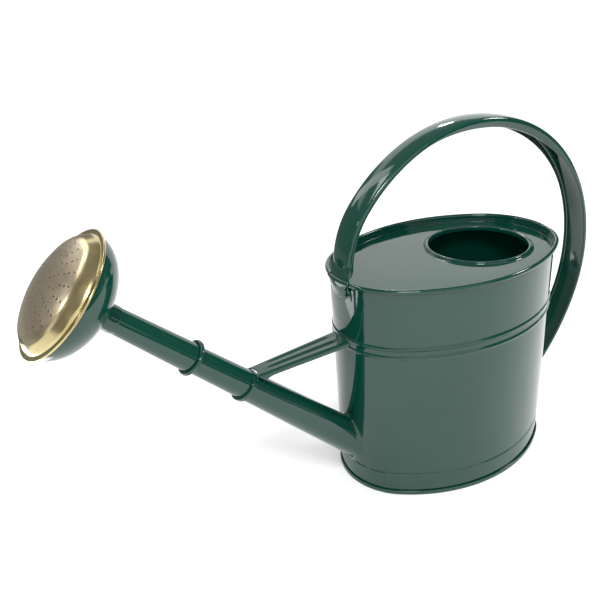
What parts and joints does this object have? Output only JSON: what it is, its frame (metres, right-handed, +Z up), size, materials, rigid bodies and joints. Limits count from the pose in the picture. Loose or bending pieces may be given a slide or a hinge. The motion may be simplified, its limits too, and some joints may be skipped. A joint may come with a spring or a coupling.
{
  "type": "watering can",
  "caption": "Oval sheet-steel watering can with a hooped channel handle, a long strutted spout and a removable round brass-faced rose.",
  "frame": {"origin": "middle of the body's oval base, on the ground plane under the bottom seam", "axes": "+Z up, -X towards the spout and rose, +X towards the handle's back leg and the fill opening, and y = 0 is the plane of symmetry"},
  "size_m": [0.6526, 0.1982, 0.389],
  "materials": {
    "green_enamel": "glossy dark green enamel",
    "wire": "bare drawn wire, hidden inside the rolled edges",
    "brass": "spun brass, lightly polished and lacquered"
  },
  "bodies": {
    "can": {"body_shell": "green_enamel", "base_plate": "green_enamel", "rim_wire": "wire", "deck": "green_enamel", "handle": "green_enamel", "front_bracket": "green_enamel", "rear_bracket": "green_enamel", "strut": "green_enamel", "strut_collar": "green_enamel", "spout": "green_enamel"},
    "sleeve": {"rose_sleeve": "green_enamel", "sleeve_wire": "wire"},
    "rose": {"rose_neck": "green_enamel", "rose_back": "green_enamel", "rose_face": "brass"}
  },
  "joints": [
    {"name": "rose_slide", "type": "slide", "parent": "can", "child": "sleeve", "axis": [-0.7278, 0, 0.6858], "range_m": [0, 0.085]},
    {"name": "rose_turn", "type": "hinge", "parent": "sleeve", "child": "rose", "pos_m": [-0.34733, 0, 0.26075], "axis": [-0.7278, 0, 0.6858], "continuous": true}
  ]
}
